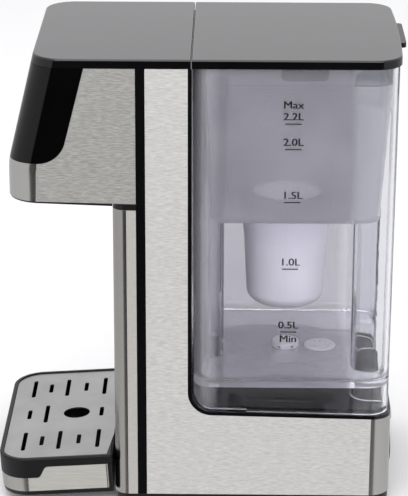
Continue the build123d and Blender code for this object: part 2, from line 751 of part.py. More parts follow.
def lid_top():
    """Gloss black tank lid, level with the machine's top cover."""
    lid = slab(lid_outline(0), COVER_UNDERSIDE + 0.1, TOP)
    lid = fillet(lid.faces().sort_by(Axis.Z)[-1].edges(), 1.1)
    return lid - slab(lid_outline(2.4), COVER_UNDERSIDE - 5, TOP - 2.6)


def lid_frame():
    """Black moulding under the lid, with a tab on each side and a lifting tab behind."""
    frame = slab(lid_outline(2.6), TOP - 4.4, TOP - 2.7)
    half = 62.6
    for side in both_sides(tab_solid(half)):
        frame += side
    for side in both_sides(block(half - 1.6, half + 0.1, 50, 75.6, 280, TOP - 4.3)):
        frame += side
    return frame


def tab_solid(half):
    """One side tab, rounded at its lower corners."""
    tab = block(half - 2.0, half, 48.8, 76.8, 273.6, TOP - 4.4)
    low = [edge for edge in tab.edges().filter_by(Axis.X) if edge.center().Z < 275]
    return fillet(low, 3.4)


def lid_ear():
    """Lifting tab at the rear of the lid."""
    tab = slab(plan(24.0, LID_REAR - 2, EAR_REAR, 0, 2.6), 283.6, 286.6)
    return tab - slab(lid_outline(-0.02), 280, 290)


# ---------------------------------------------------------------- drip tray


def tipped(piece):
    """A tray piece turned from level to its real, slightly nose-down place."""
    return Pos(*TRAY_PIVOT) * Rot(TRAY_TILT, 0, 0) * Pos(*(-value for value in TRAY_PIVOT)) * piece


def tray_plan(inset, rear_inset=0.0):
    """Plan of the tray with its two large front corners."""
    return plan(
        HALF_WIDTH - inset, TRAY_FRONT + inset, TRAY_REAR - rear_inset, TRAY_CORNER - inset, 1.5
    )


def band_side(top_shift):
    """Side outline of the steel band, high beside the grille and low at the front."""
    points = [
        (BAND_END + 12, 12.0),
        (BAND_END + 12, 28.1 + top_shift),
        (-94.6 - top_shift, 28.1 + top_shift),
        (-98.6 - top_shift, 20.9 + top_shift),
        (-140, 20.9 + top_shift),
        (-140, 12.0),
    ]
    return profile(points, 90, [0, 0, 3.0, 3.0, 0, 0])


def tray_band():
    """Brushed steel band round the tray."""
    ring = slab(tray_plan(0.2, TRAY_REAR - BAND_END), 12.0, 30)
    ring -= slab(tray_plan(0.2 + STEEL, -20), 0, 60)
    return tipped(ring & band_side(0))


def tray_base():
    """Black under-tray with two hooks that catch the column."""
    base = slab(tray_plan(0.9, 0.4), 9.1, 11.9)
    walls = slab(tray_plan(1.2, 0.4), 11.8, 27.6) - slab(tray_plan(3.0, 2.2), 11.8, 40)
    walls = walls & (band_side(-0.6) + block(-80, 80, -140, -40, 9, 20))
    for x in (-30, 30):
        base += block(x - 5, x + 5, TRAY_REAR - 3, TRAY_REAR + 4.6, 14.5, 19.5)
        base += block(x - 5, x + 5, TRAY_REAR + 2.8, TRAY_REAR + 4.6, 14.5, 21.6)
    for x in (-50, 50):
        base -= post(5.1, x, -110, 0, 10.3)
    return tipped(base + walls)


def tray_feet():
    """Rubber pads under the front of the tray."""
    pads = []
    for x in (-50, 50):
        pad = post(4.9, x, -109.2, 0, 6.4)
        pads.append(fillet(pad.faces().sort_by(Axis.Z)[0].edges(), 0.6))
    return pads


def drip_pan():
    """Matte black pan with the rolled rim and the deep front lip; open behind, under the grille."""
    skin = slab(tray_plan(0, 0.2), 12, RIM_TOP) - band_side(0.25)
    skin = fillet(skin.faces().sort_by(Axis.Z)[-1].outer_wire().edges(), 1.0)
    skin -= slab(tray_plan(2.6, -20), 0, 60)
    ledge = slab(tray_plan(2.5, 0.4), 30.4, 32.1) - slab(tray_plan(6.0, 5.9), 0, 60)
    basin = slab(tray_plan(4.0, 4.4), 14.2, 31) - slab(tray_plan(5.6, 6.0), 15.8, 60)
    pan = skin + ledge + basin
    for side in both_sides(rear_web()):
        pan += side
    return tipped(pan)


def rear_web():
    """Web that fills a rear corner of the rim beside the grille."""
    corner = Polyline((68.8, -53.6), (68.8, -55.8), (47.8, -53.6), close=True)
    return slab(make_face(corner), 30.4, RIM_TOP)


def grille():
    """Satin steel grille with its rows of slots and the drain hole under the spout."""
    sheet = slab(tray_plan(GRILLE_INSET, 0.4), GRILLE_TOP - 0.9, GRILLE_TOP)
    corner = make_face(Polyline((80, -40), (80, -57.4), (37, -52.9), (37, -40), close=True))
    for side in both_sides(slab(corner, 0, 60)):
        sheet -= side
    for row, x in enumerate(SLOT_ROWS):
        for column, y in enumerate(SLOT_COLUMNS):
            if row == 1 and column in (2, 3):
                continue
            long_one = (column + row) % 2 == 0 and not (row == 1 and column == 4)
            length = SLOT_LONG if long_one else SLOT_SHORT
            sheet -= Pos(x, y, 30) * extrude(SlotOverall(length, SLOT_WIDTH), 10)
    sheet -= post(DRAIN_RADIUS, 0, DRAIN_Y, 20, 50)
    return tipped(sheet)


PIECES = {
    "base_pan": base_pan,
    "rubber_feet": rubber_feet,
    "base_screws": base_screws,
    "column_frame": column_frame,
    "column_front": column_front,
    "stripe_right": lambda: column_stripe(1),
    "stripe_left": lambda: column_stripe(-1),
    "steel_side_right": lambda: steel_wrap(1),
    "steel_side_left": lambda: steel_wrap(-1),
    "rear_panel": rear_panel,
    "rear_screws": rear_screws,
    "cord_gland": cord_gland,
    "bay_liner": bay_liner,
    "head_shell": head_shell,
    "head_frame": head_frame,
    "head_underside": head_underside,
    "head_screws": head_screws,
    "column_collar": column_collar,
    "control_glass": control_glass,
    "control_board": control_board,
    "display_module": display_module,
    "touch_springs": touch_springs,
    "top_cover": top_cover,
    "spout_nozzle": spout_nozzle,
    "outlet_tube": outlet_tube,
    "flow_heater": flow_heater,
    "heater_bracket": heater_bracket,
    "thermal_cutout": thermal_cutout,
    "power_board": power_board,
    "board_parts": board_parts,
    "level_sensor": level_sensor,
    "feed_tube": feed_tube,
    "pump_housing": pump_housing,
    "pump_motor": pump_motor,
    "pump_cradle": pump_cradle,
    "pump_impeller": pump_impeller,
    "motor_rotor": motor_rotor,
    "intake_tube": intake_tube,
    "tank_socket": tank_socket,
    "socket_seal": socket_seal,
    "tank_body": tank_body,
    "tank_valve": tank_valve,
    "valve_poppet": valve_poppet,
    "valve_spring": valve_spring,
    "tank_strainer": tank_strainer,
    "funnel": funnel,
    "filter_cup": filter_cup,
    "filter_cartridge": filter_cartridge,
    "lid_top": lid_top,
    "lid_frame": lid_frame,
    "lid_ear": lid_ear,
    "tray_base": tray_base,
    "tray_band": tray_band,
    "tray_feet": tray_feet,
    "drip_pan": drip_pan,
    "grille": grille,
}

os.makedirs("parts", exist_ok=True)
for name, make in PIECES.items():
    made = make()
    solids = made if isinstance(made, list) else [made]
    piece = Compound(children=solids) if len(solids) > 1 else solids[0]
    export_step(piece, f"parts/{name}.step")
    box = piece.bounding_box()
    print(f"{name:18s} x {box.min.X:8.2f} {box.max.X:8.2f}  y {box.min.Y:8.2f} {box.max.Y:8.2f}", end="")
    print(f"  z {box.min.Z:8.2f} {box.max.Z:8.2f}")
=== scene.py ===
"""Looks for a countertop hot-water dispenser: brushed steel, gloss black and a clear smoke tank.

Run as a script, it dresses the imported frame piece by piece. Everything is in metres, in the
frame's own axes: the spout faces -Y, +X is the user's right and +Z is up.
"""

import json
import math

import bmesh
import bpy
from mathutils import Matrix, Vector

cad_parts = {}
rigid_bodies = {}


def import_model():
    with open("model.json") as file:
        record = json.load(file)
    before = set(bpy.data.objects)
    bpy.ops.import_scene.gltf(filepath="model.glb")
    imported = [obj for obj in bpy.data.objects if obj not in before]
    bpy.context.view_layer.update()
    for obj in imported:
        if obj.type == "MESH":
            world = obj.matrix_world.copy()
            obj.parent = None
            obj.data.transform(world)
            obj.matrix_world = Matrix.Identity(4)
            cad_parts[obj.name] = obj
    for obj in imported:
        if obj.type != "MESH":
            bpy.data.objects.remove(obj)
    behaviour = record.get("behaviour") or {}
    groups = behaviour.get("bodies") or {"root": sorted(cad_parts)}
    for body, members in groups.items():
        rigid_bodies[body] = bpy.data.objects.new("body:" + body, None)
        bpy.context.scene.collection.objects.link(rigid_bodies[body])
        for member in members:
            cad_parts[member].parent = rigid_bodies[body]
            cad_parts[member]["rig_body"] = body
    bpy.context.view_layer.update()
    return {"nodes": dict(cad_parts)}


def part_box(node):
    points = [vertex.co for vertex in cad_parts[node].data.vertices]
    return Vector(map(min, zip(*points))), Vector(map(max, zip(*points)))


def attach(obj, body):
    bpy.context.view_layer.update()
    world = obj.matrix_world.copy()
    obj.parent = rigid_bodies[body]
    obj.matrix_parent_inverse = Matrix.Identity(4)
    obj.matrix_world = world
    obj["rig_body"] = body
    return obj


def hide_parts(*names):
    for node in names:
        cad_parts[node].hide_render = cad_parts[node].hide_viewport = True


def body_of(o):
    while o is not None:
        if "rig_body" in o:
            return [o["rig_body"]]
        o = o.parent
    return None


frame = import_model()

bl_info = {
    "name": "Water dispenser looks",
    "version": (1, 0, 0),
    "blender": (4, 5, 0),
    "location": "3D View > Sidebar > Dispenser",
    "description": "Finishes and pieces of a countertop hot-water dispenser",
    "category": "Object",
}

MM = 0.001

# brushed steel: roughness where the sheet is flat and where pressing has polished it, and grit
FLAT_ROUGHNESS = 0.42
BEND_ROUGHNESS = 0.16
GRIT_MM = 0.5

# clear plastic: its refraction, and what each surface lets through to the lamps
CLEAR_IOR = 1.45
LAMP_TINT = "#f4f4f7"

# edges sharper than this are rounded
EDGE_ANGLE = math.radians(40)

# volume scale: height of each line in mm, its figure, its word and how far it is shifted along
MARKS = (
    (248.5, "2.2L", "Max", 0.0),
    (232.7, "2.0L", "", 0.1),
    (199.5, "1.5L", "", 0.0),
    (157.0, "1.0L", "", -0.8),
    (116.1, "0.5L", "Min", -1.4),
)
MARK_BEHIND_FRONT = 59.6 * MM
MARK_THICK = 0.75 * MM
FIGURE_ABOVE = 2.4 * MM
WORD_PLACE = {"Max": 9.6 * MM, "Min": -6.6 * MM}
INK_THICK = 0.06 * MM
LETTER_THICK = 0.02 * MM
LETTER_WIDTH = 1.12
STROKE_SHIFT = 0.022
WALL_LEAN = 0.6 / 232
PRINT_LIFT = 0.05 * MM

# studio: levels of the surround, the aim of the lamps, and the long lens
SURROUND_COLOUR = "#fdfdff"
LOW_LEVEL = 0.62
HIGH_LEVEL = 1.12
BOUNCE_LEVEL = 1.4
FLAG_LEVEL = 0.01
LAMP_TARGET = (0, 0, 0.15)
LENS = 173.4
CAMERA_PLACE = (1.4230, 0.0212, 0.6569)
CAMERA_HEADING = math.radians(90.746)
CAMERA_PITCH = math.radians(19.756)
CAMERA_ROLL = math.radians(0.13)


def corners(name):
    """Lowest and highest corners of a frame node, as vectors."""
    low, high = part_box(name)
    return Vector(low), Vector(high)


# ---------------------------------------------------------------- small helpers


def linear(hex_colour, alpha=1.0):
    """An sRGB hex colour as the linear colour that shaders take."""
    channels = [int(hex_colour[i : i + 2], 16) / 255 for i in (1, 3, 5)]
    straight = [c / 12.92 if c <= 0.04045 else ((c + 0.055) / 1.055) ** 2.4 for c in channels]
    return (*straight, alpha)


def add_node(tree, kind, inputs=None, **settings):
    """Adds one node. inputs maps a socket's name or number to a value or to a socket to link."""
    made = tree.nodes.new(kind)
    for key, value in settings.items():
        setattr(made, key, value)
    for key, value in (inputs or {}).items():
        if isinstance(value, bpy.types.NodeSocket):
            tree.links.new(value, made.inputs[key])
        else:
            made.inputs[key].default_value = value
    return made


def new_material(name):
    """An empty material with its node tree."""
    material = bpy.data.materials.new(name)
    material.use_nodes = True
    material.node_tree.nodes.clear()
    return material, material.node_tree


def finish_surface(tree, shader):
    """Joins a shader to the material's output."""
    add_node(tree, "ShaderNodeOutputMaterial", {"Surface": shader.outputs[0]})


def per_metre(size_mm):
    """Noise scale that gives one feature every size_mm."""
    return 1000.0 / size_mm


# ---------------------------------------------------------------- materials


def brushed_stainless(name, tone, shade, bend, streak_mm=5.0):
    """Stainless sheet, belt-brushed along its length: short streaks, and light spread up and down.

    The bends are drawn smoother than the flats, as pressing polishes them. Grit lines are about
    0.1 mm apart on the real sheet; they are drawn coarser, GRIT_MM apart, so that they show.
    """
    material, tree = new_material(name)
    place = add_node(tree, "ShaderNodeTexCoord")
    pitch = (per_metre(streak_mm), per_metre(streak_mm), per_metre(GRIT_MM))
    stretched = add_node(
        tree, "ShaderNodeMapping", {"Vector": place.outputs["Object"], "Scale": pitch}
    )
    streaks = add_node(
        tree,
        "ShaderNodeTexNoise",
        {"Vector": stretched.outputs[0], "Scale": 1.0, "Detail": 3.0, "Roughness": 0.7},
    )
    flat = flatness(tree)
    grain = add_node(tree, "ShaderNodeValToRGB", {"Fac": streaks.outputs["Fac"]})
    grain.color_ramp.elements[0].position = 0.34
    grain.color_ramp.elements[0].color = linear(shade)
    grain.color_ramp.elements[1].position = 0.66
    grain.color_ramp.elements[1].color = linear(tone)
    colour = add_node(
        tree,
        "ShaderNodeMix",
        {"Factor": flat, 6: linear(bend), 7: grain.outputs[0]},
        data_type="RGBA",
    )
    rough = add_node(
        tree,
        "ShaderNodeMapRange",
        {"Value": flat, "To Min": BEND_ROUGHNESS, "To Max": FLAT_ROUGHNESS},
    )
    height = add_node(
        tree, "ShaderNodeMath", {0: flat, 1: streaks.outputs["Fac"]}, operation="MULTIPLY"
    )
    relief = add_node(
        tree,
        "ShaderNodeBump",
        {"Height": height.outputs[0], "Strength": 0.25, "Distance": 0.02 * MM},
    )
    upright = add_node(tree, "ShaderNodeTangent", direction_type="RADIAL", axis="Z")
    shader = add_node(
        tree,
        "ShaderNodeBsdfPrincipled",
        {
            "Base Color": colour.outputs[2],
            "Metallic": 1.0,
            "Roughness": rough.outputs[0],
            "Anisotropic": 0.8,
            "Anisotropic Rotation": 0.25,
            "Tangent": upright.outputs[0],
            "Normal": relief.outputs[0],
        },
    )
    finish_surface(tree, shader)
    return material


def flatness(tree):
    """Socket that is 1 on the flat sides, front and back, and 0 round the bends between them."""
    shape = add_node(tree, "ShaderNodeNewGeometry")
    facing = add_node(tree, "ShaderNodeSeparateXYZ", {0: shape.outputs["Normal"]})
    aside = add_node(tree, "ShaderNodeMath", {0: facing.outputs["X"]}, operation="ABSOLUTE")
    squared = add_node(
        tree,
        "ShaderNodeMath",
        {0: facing.outputs["X"], 1: facing.outputs["X"]},
        operation="MULTIPLY",
    )
    rest = add_node(tree, "ShaderNodeMath", {0: 1.0, 1: squared.outputs[0]}, operation="SUBTRACT")
    ahead = add_node(tree, "ShaderNodeMath", {0: rest.outputs[0]}, operation="SQRT")
    most = add_node(
        tree, "ShaderNodeMath", {0: aside.outputs[0], 1: ahead.outputs[0]}, operation="MAXIMUM"
    )
    step = add_node(
        tree,
        "ShaderNodeMapRange",
        {"Value": most.outputs[0], "From Min": 0.9975, "From Max": 0.9997},
        interpolation_type="SMOOTHSTEP",
    )
    return step.outputs[0]


def satin_stainless(name, tone, shade):
    """Stainless sheet, bead-blasted then lightly polished: even, cloudy and without streaks."""
    material, tree = new_material(name)
    place = add_node(tree, "ShaderNodeTexCoord")
    cloud = add_node(
        tree,
        "ShaderNodeTexNoise",
        {"Vector": place.outputs["Object"], "Scale": per_metre(30), "Detail": 3.0},
    )
    grit = add_node(
        tree,
        "ShaderNodeTexNoise",
        {"Vector": place.outputs["Object"], "Scale": per_metre(0.5), "Detail": 2.0},
    )
    colour = add_node(tree, "ShaderNodeValToRGB", {"Fac": cloud.outputs["Fac"]})
    colour.color_ramp.elements[0].position = 0.3
    colour.color_ramp.elements[0].color = linear(shade)
    colour.color_ramp.elements[1].position = 0.7
    colour.color_ramp.elements[1].color = linear(tone)
    rough = add_node(
        tree, "ShaderNodeMapRange", {"Value": grit.outputs["Fac"], "To Min": 0.26, "To Max": 0.36}
    )
    relief = add_node(
        tree, "ShaderNodeBump", {"Height": grit.outputs["Fac"], "Strength": 0.15, "Distance": 0.02 * MM}
    )
    shader = add_node(
        tree,
        "ShaderNodeBsdfPrincipled",
        {
            "Base Color": colour.outputs[0],
            "Metallic": 1.0,
            "Roughness": rough.outputs[0],
            "Normal": relief.outputs[0],
        },
    )
    finish_surface(tree, shader)
    return material


def moulded_plastic(name, tone, shade, roughness, texture_mm, texture_depth, ior=1.5, coat=0.0):
    """Injection-moulded plastic: an even colour with a mould texture of a given size."""
    material, tree = new_material(name)
    place = add_node(tree, "ShaderNodeTexCoord")
    texture = add_node(
        tree,
        "ShaderNodeTexNoise",
        {"Vector": place.outputs["Object"], "Scale": per_metre(texture_mm), "Detail": 3.0},
    )
    flow = add_node(
        tree,
        "ShaderNodeTexNoise",
        {"Vector": place.outputs["Object"], "Scale": per_metre(45), "Detail": 2.0},
    )
    colour = add_node(tree, "ShaderNodeValToRGB", {"Fac": flow.outputs["Fac"]})
    colour.color_ramp.elements[0].position = 0.35
    colour.color_ramp.elements[0].color = linear(shade)
    colour.color_ramp.elements[1].position = 0.65
    colour.color_ramp.elements[1].color = linear(tone)
    rough = add_node(
        tree,
        "ShaderNodeMapRange",
        {"Value": texture.outputs["Fac"], "To Min": roughness * 0.85, "To Max": roughness * 1.15},
    )
    relief = add_node(
        tree,
        "ShaderNodeBump",
        {"Height": texture.outputs["Fac"], "Strength": 0.3, "Distance": texture_depth * MM},
    )
    shader = add_node(
        tree,
        "ShaderNodeBsdfPrincipled",
        {
            "Base Color": colour.outputs[0],
            "Roughness": rough.outputs[0],
            "IOR": ior,
            "Coat Weight": coat,
            "Coat Roughness": 0.03,
            "Normal": relief.outputs[0],
        },
    )
    finish_surface(tree, shader)
    return material


def clear_copolyester(name, tint, haze, roughness=0.03, clearness=1.0, frost=1.0, rear_painted_light_tint=""):
    """Smoke-tinted copolyester, polished in the mould; below a clearness of 1 it looks milky.

    Level faces have a clearness of their own, frost. The front corners are frosted part way too,
    as painted light that lightens them where black parts show behind. The wall behind may have a
    lighter tint, also painted light. A slow waviness keeps reflections from being perfectly
    straight, and lamps light what is behind the wall.
    """
    material, tree = new_material(name)
    place = add_node(tree, "ShaderNodeTexCoord")
    wave = add_node(
        tree,
        "ShaderNodeTexNoise",
        {"Vector": place.outputs["Object"], "Scale": per_metre(35), "Detail": 1.0},
    )
    colour = add_node(tree, "ShaderNodeValToRGB", {"Fac": wave.outputs["Fac"]})
    colour.color_ramp.elements[0].position = 0.3
    colour.color_ramp.elements[0].color = linear(haze)
    colour.color_ramp.elements[1].position = 0.7
    colour.color_ramp.elements[1].color = linear(tint)
    rough = add_node(
        tree,
        "ShaderNodeMapRange",
        {"Value": wave.outputs["Fac"], "To Min": roughness * 0.6, "To Max": roughness * 1.4},
    )
    relief = add_node(
        tree, "ShaderNodeBump", {"Height": wave.outputs["Fac"], "Strength": 0.1, "Distance": 0.2 * MM}
    )
    shape = add_node(tree, "ShaderNodeNewGeometry")
    facing = add_node(tree, "ShaderNodeSeparateXYZ", {0: shape.outputs["Normal"]})
    level = add_node(tree, "ShaderNodeMath", {0: facing.outputs["Z"]}, operation="ABSOLUTE")
    flat = add_node(
        tree, "ShaderNodeMapRange", {"Value": level.outputs[0], "From Min": 0.6, "From Max": 0.9}
    )
    depth = add_node(tree, "ShaderNodeSeparateXYZ", {0: place.outputs["Generated"]})
    # painted light: the front corners are frosted part way, which lightens them where black parts show
    # behind
    front = add_node(
        tree,
        "ShaderNodeMapRange",
        {"Value": depth.outputs["Y"], "From Min": 0.13, "From Max": 0.07, "To Max": 0.35},
    )
    frosted = add_node(
        tree, "ShaderNodeMath", {0: flat.outputs[0], 1: front.outputs[0]}, operation="MAXIMUM"
    )
    clear = add_node(
        tree,
        "ShaderNodeMapRange",
        {"Value": frosted.outputs[0], "To Min": clearness, "To Max": frost},
    )
    # painted light: a lighter tint on the wall behind
    rear = add_node(
        tree,
        "ShaderNodeMapRange",
        {"Value": depth.outputs["Y"], "From Min": 0.76, "From Max": 0.8},
    )
    shade = add_node(
        tree,
        "ShaderNodeMix",
        {"Factor": rear.outputs[0], 6: colour.outputs[0], 7: linear(rear_painted_light_tint or tint)},
        data_type="RGBA",
    )
    shader = add_node(
        tree,
        "ShaderNodeBsdfPrincipled",
        {
            "Base Color": shade.outputs[2],
            "Roughness": rough.outputs[0],
            "IOR": CLEAR_IOR,
            "Transmission Weight": clear.outputs[0],
            "Normal": relief.outputs[0],
        },
    )
    through = add_node(tree, "ShaderNodeBsdfTransparent", {"Color": linear(LAMP_TINT)})
    path = add_node(tree, "ShaderNodeLightPath")
    both = add_node(
        tree,
        "ShaderNodeMixShader",
        {0: path.outputs["Is Shadow Ray"], 1: shader.outputs[0], 2: through.outputs[0]},
    )
    finish_surface(tree, both)
    return material


def bare_metal(name, tone, shade, roughness):
    """Plated or cast metal seen only inside and underneath: mottled and half dull."""
    material, tree = new_material(name)
    place = add_node(tree, "ShaderNodeTexCoord")
    mottle = add_node(
        tree,
        "ShaderNodeTexNoise",
        {"Vector": place.outputs["Object"], "Scale": per_metre(3), "Detail": 4.0},
    )
    colour = add_node(tree, "ShaderNodeValToRGB", {"Fac": mottle.outputs["Fac"]})
    colour.color_ramp.elements[0].position = 0.35
    colour.color_ramp.elements[0].color = linear(shade)
    colour.color_ramp.elements[1].position = 0.65
    colour.color_ramp.elements[1].color = linear(tone)
    rough = add_node(
        tree,
        "ShaderNodeMapRange",
        {"Value": mottle.outputs["Fac"], "To Min": roughness * 0.8, "To Max": roughness * 1.2},
    )
    shader = add_node(
        tree,
        "ShaderNodeBsdfPrincipled",
        {"Base Color": colour.outputs[0], "Metallic": 1.0, "Roughness": rough.outputs[0]},
    )
    finish_surface(tree, shader)
    return material


def make_materials(sizes):
    """All finishes, by short name."""
    return {
        # stainless sheet, brushed across: fine streaks on the flats and a mirror line at each bend
        # one stainless in four copies whose colours differ only by how light falls on each part; the
        # sides are the lit copy, painted light
        "steel_side": brushed_stainless(
            "brushed stainless, sides, painted light", "#cfcecb", "#b3b2af", "#c4c3c0"
        ),
        # painted shade: the head's copy of the same stainless, made darker
        "steel_head_painted_shade": brushed_stainless(
            "brushed stainless, head, painted shade", "#adaca8", "#898884", "#c9c8c4"
        ),
        # painted shade: the column's copy of the same stainless, made darker
        "steel_column_painted_shade": brushed_stainless(
            "brushed stainless, column, painted shade", "#b9b6b1", "#afaca7", "#b4b1ac"
        ),
        # painted shade: the tray's copy of the same stainless, made darker
        "steel_tray_painted_shade": brushed_stainless(
            "brushed stainless, tray, painted shade", "#b9b7b1", "#a9a7a1", "#b6b4ae", 20.0
        ),
        # blasted stainless: soft and even, so that the slots stand out
        "steel_grille": satin_stainless("satin stainless", "#a2a2a1", "#949493"),
        # moulded in a polished tool: near black, with a clear image of the studio in it
        "gloss_black": moulded_plastic("gloss black ABS", "#080809", "#050506", 0.05, 60, 0.01, 1.52),
        "window": moulded_plastic("gloss black acrylic", "#040404", "#030303", 0.03, 80, 0.005, 1.42),
        "rim_black": moulded_plastic("polished black ABS", "#080809", "#060607", 0.12, 20, 0.01),
        # moulded in a spark-eroded tool: black with a dull sheen and no image in it
        "satin_black": moulded_plastic("satin black ABS", "#0b0b0c", "#080809", 0.32, 0.9, 0.03, 1.4),
        "pan_black": moulded_plastic(
            "matte black polypropylene", "#0b0b0c", "#080809", 0.4, 0.8, 0.04, 1.3
        ),
        "inner_black": moulded_plastic("unpolished black ABS", "#1a1a1b", "#131314", 0.55, 1.5, 0.05),
        # soft mouldings: dull black rubber, and pale hose with a slight sheen
        "rubber": moulded_plastic("moulded rubber", "#1c1c1c", "#141414", 0.8, 0.6, 0.08),
        "silicone": moulded_plastic("silicone hose", "#dcd8cf", "#cfcbc2", 0.4, 3, 0.02),
        # plain metals inside: mottled greys, the cast block duller than the plated parts
        "zinc": bare_metal("zinc-plated steel", "#b9bcc2", "#9a9da3", 0.3),
        "cast": bare_metal("cast aluminium", "#b0b0b2", "#8f8f92", 0.5),
        # printed board: green lacquer with a slight gloss
        "board": moulded_plastic("solder-masked circuit board", "#1d5a33", "#174a2a", 0.35, 2, 0.03),
        # clear mouldings, from smoke-tinted to frosted: each hides more of what is behind it
        # the tank's last colour, #eeeef1, is a lighter tint on the wall behind: painted light
        "tank": clear_copolyester(
            "smoke copolyester", sizes.tank_tint_hex, "#d5d4d9", 0.03, 1.0, 0.72, "#eeeef1"
        ),
        "funnel": clear_copolyester("milky copolyester", "#cacacc", "#c4c4c6", 0.12, 0.8, 0.8),
        "cup": clear_copolyester("frosted copolyester", "#f7f6f8", "#f3f2f4", 0.2, 0.5, 0.5),
        # white and natural mouldings: pale, even and half dull
        "cartridge": moulded_plastic("white polypropylene", "#f6f5fa", "#f0eff4", 0.45, 1.2, 0.03),
        "valve": moulded_plastic("natural acetal", "#d8d8dc", "#cbcbd0", 0.3, 1.0, 0.02),
        # printed ink: black and flat
        "ink": moulded_plastic("screen-printing ink", "#131315", "#0e0e10", 0.5, 0.5, 0.01),
    }


NODE_FINISH = {
    "gloss_black": ("top_cover", "lid_top"),
    "window": ("control_glass",),
    # the four stainless copies carry painted light on the sides and painted shade on head, column and
    # tray
    "steel_side": ("steel_side_right", "steel_side_left"),
    "steel_head_painted_shade": ("head_shell",),
    "steel_column_painted_shade": ("column_front",),
    "steel_tray_painted_shade": ("tray_band",),
    "steel_grille": ("grille",),
    "rim_black": ("bay_liner", "stripe_right", "stripe_left"),
    "satin_black": (
        "base_pan",
        "head_underside",
        "column_collar",
        "rear_panel",
        "cord_gland",
        "lid_frame",
        "lid_ear",
        "tray_base",
        "spout_nozzle",
    ),
    "pan_black": ("drip_pan",),
    "inner_black": (
        "column_frame",
        "head_frame",
        "pump_housing",
        "pump_cradle",
        "tank_socket",
        "board_parts",
        "thermal_cutout",
        "display_module",
    ),
    "rubber": ("rubber_feet", "tray_feet", "socket_seal"),
    "silicone": ("outlet_tube", "feed_tube", "intake_tube"),
    "zinc": (
        "base_screws",
        "head_screws",
        "rear_screws",
        "valve_spring",
        "heater_bracket",
        "touch_springs",
        "pump_motor",
        "motor_rotor",
    ),
    "cast": ("flow_heater",),
    "board": ("control_board", "power_board"),
    "tank": ("tank_body",),
    "funnel": ("funnel",),
    "cup": ("filter_cup",),
    "cartridge": ("filter_cartridge",),
    "valve": ("tank_valve", "valve_poppet", "tank_strainer", "pump_impeller", "level_sensor"),
}


# ---------------------------------------------------------------- settings


class DispenserSettings(bpy.types.PropertyGroup):
    """Sizes and colours a user would change."""

    mark_height: bpy.props.FloatProperty(
        name="Figure height",
        description="Height of the printed volume figures",
        default=6.4 * MM,
        unit="LENGTH",
    )
    mark_line: bpy.props.FloatProperty(
        name="Mark length",
        description="Length of each printed volume line",
        default=9.6 * MM,
        unit="LENGTH",
    )
    edge_round: bpy.props.FloatProperty(
        name="Edge round",
        description="Rounding of pressed and moulded edges",
        default=0.45 * MM,
        unit="LENGTH",
    )
    tank_tint_hex: bpy.props.StringProperty(
        name="Tank tint",
        description="Colour that one wall of the tank lets through, as an sRGB hex value",
        default="#dad9dd",
    )
    backdrop: bpy.props.FloatVectorProperty(
        name="Studio floor",
        description="Colour of the floor under the dispenser",
        default=(0.68, 0.68, 0.68),
        subtype="COLOR",
    )


def settings():
    """The scene's own settings of the dispenser."""
    return bpy.context.scene.dispenser


# finishes by short name, filled by the finishes operator
MATERIALS = {}


# ---------------------------------------------------------------- pieces


def print_piece(name, body, material, meshes):
    """Joins printed shapes into one piece that rides on a body."""
    joined = bmesh.new()
    for mesh in meshes:
        joined.from_mesh(mesh)
    data = bpy.data.meshes.new(name)
    joined.to_mesh(data)
    joined.free()
    data.materials.append(material)
    piece = bpy.data.objects.new(name, data)
    bpy.context.scene.collection.objects.link(piece)
    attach(piece, body)
    return piece


def lettering(text, height, place):
    """Mesh of a line of text, centred, placed by a matrix."""
    curve = bpy.data.curves.new("lettering", "FONT")
    curve.body = text
    curve.size = height
    curve.align_x = "CENTER"
    curve.extrude = LETTER_THICK
    holder = bpy.data.objects.new("lettering", curve)
    bpy.context.scene.collection.objects.link(holder)
    bpy.context.view_layer.update()
    mesh = bpy.data.meshes.new_from_object(holder)
    mesh.transform(place @ Matrix.Diagonal((LETTER_WIDTH, 1, 1, 1)))
    bpy.data.objects.remove(holder)
    bpy.data.curves.remove(curve)
    return mesh


def bar(width, height, thickness, place):
    """Mesh of a printed line, centred."""
    shape = bmesh.new()
    size = Matrix.Diagonal((width, height, thickness, 1))
    bmesh.ops.create_cube(shape, size=1.0, matrix=place @ size)
    mesh = bpy.data.meshes.new("bar")
    shape.to_mesh(mesh)
    shape.free()
    return mesh


class DISPENSER_OT_stage(bpy.types.Operator):
    """Floor, light and camera"""

    bl_idname = "dispenser.stage"
    bl_label = "Studio"

    def execute(self, context):
        make_floor()
        make_world()
        make_lights()
        make_camera()
        return {"FINISHED"}


def make_floor():
    """A pale seamless floor, kept out of mirror reflections so that black parts stay black."""
    shape = bmesh.new()
    bmesh.ops.create_grid(shape, x_segments=8, y_segments=8, size=6.0)
    mesh = bpy.data.meshes.new("floor")
    shape.to_mesh(mesh)
    shape.free()
    floor = bpy.data.objects.new("floor", mesh)
    bpy.context.scene.collection.objects.link(floor)
    material, tree = new_material("pale paper")
    place = add_node(tree, "ShaderNodeTexCoord")
    fibre = add_node(
        tree, "ShaderNodeTexNoise", {"Vector": place.outputs["Object"], "Scale": per_metre(4)}
    )
    pale = settings().backdrop
    colour = add_node(
        tree,
        "ShaderNodeMix",
        {
            "Factor": fibre.outputs["Fac"],
            6: (*[0.985 * c for c in pale], 1),
            7: (*pale, 1),
        },
        data_type="RGBA",
    )
    shader = add_node(
        tree,
        "ShaderNodeBsdfPrincipled",
        {"Base Color": colour.outputs[2], "Roughness": 0.9, "Specular IOR Level": 0.1},
    )
    finish_surface(tree, shader)
    mesh.materials.append(material)
    floor.visible_glossy = False
    floor.visible_shadow = False


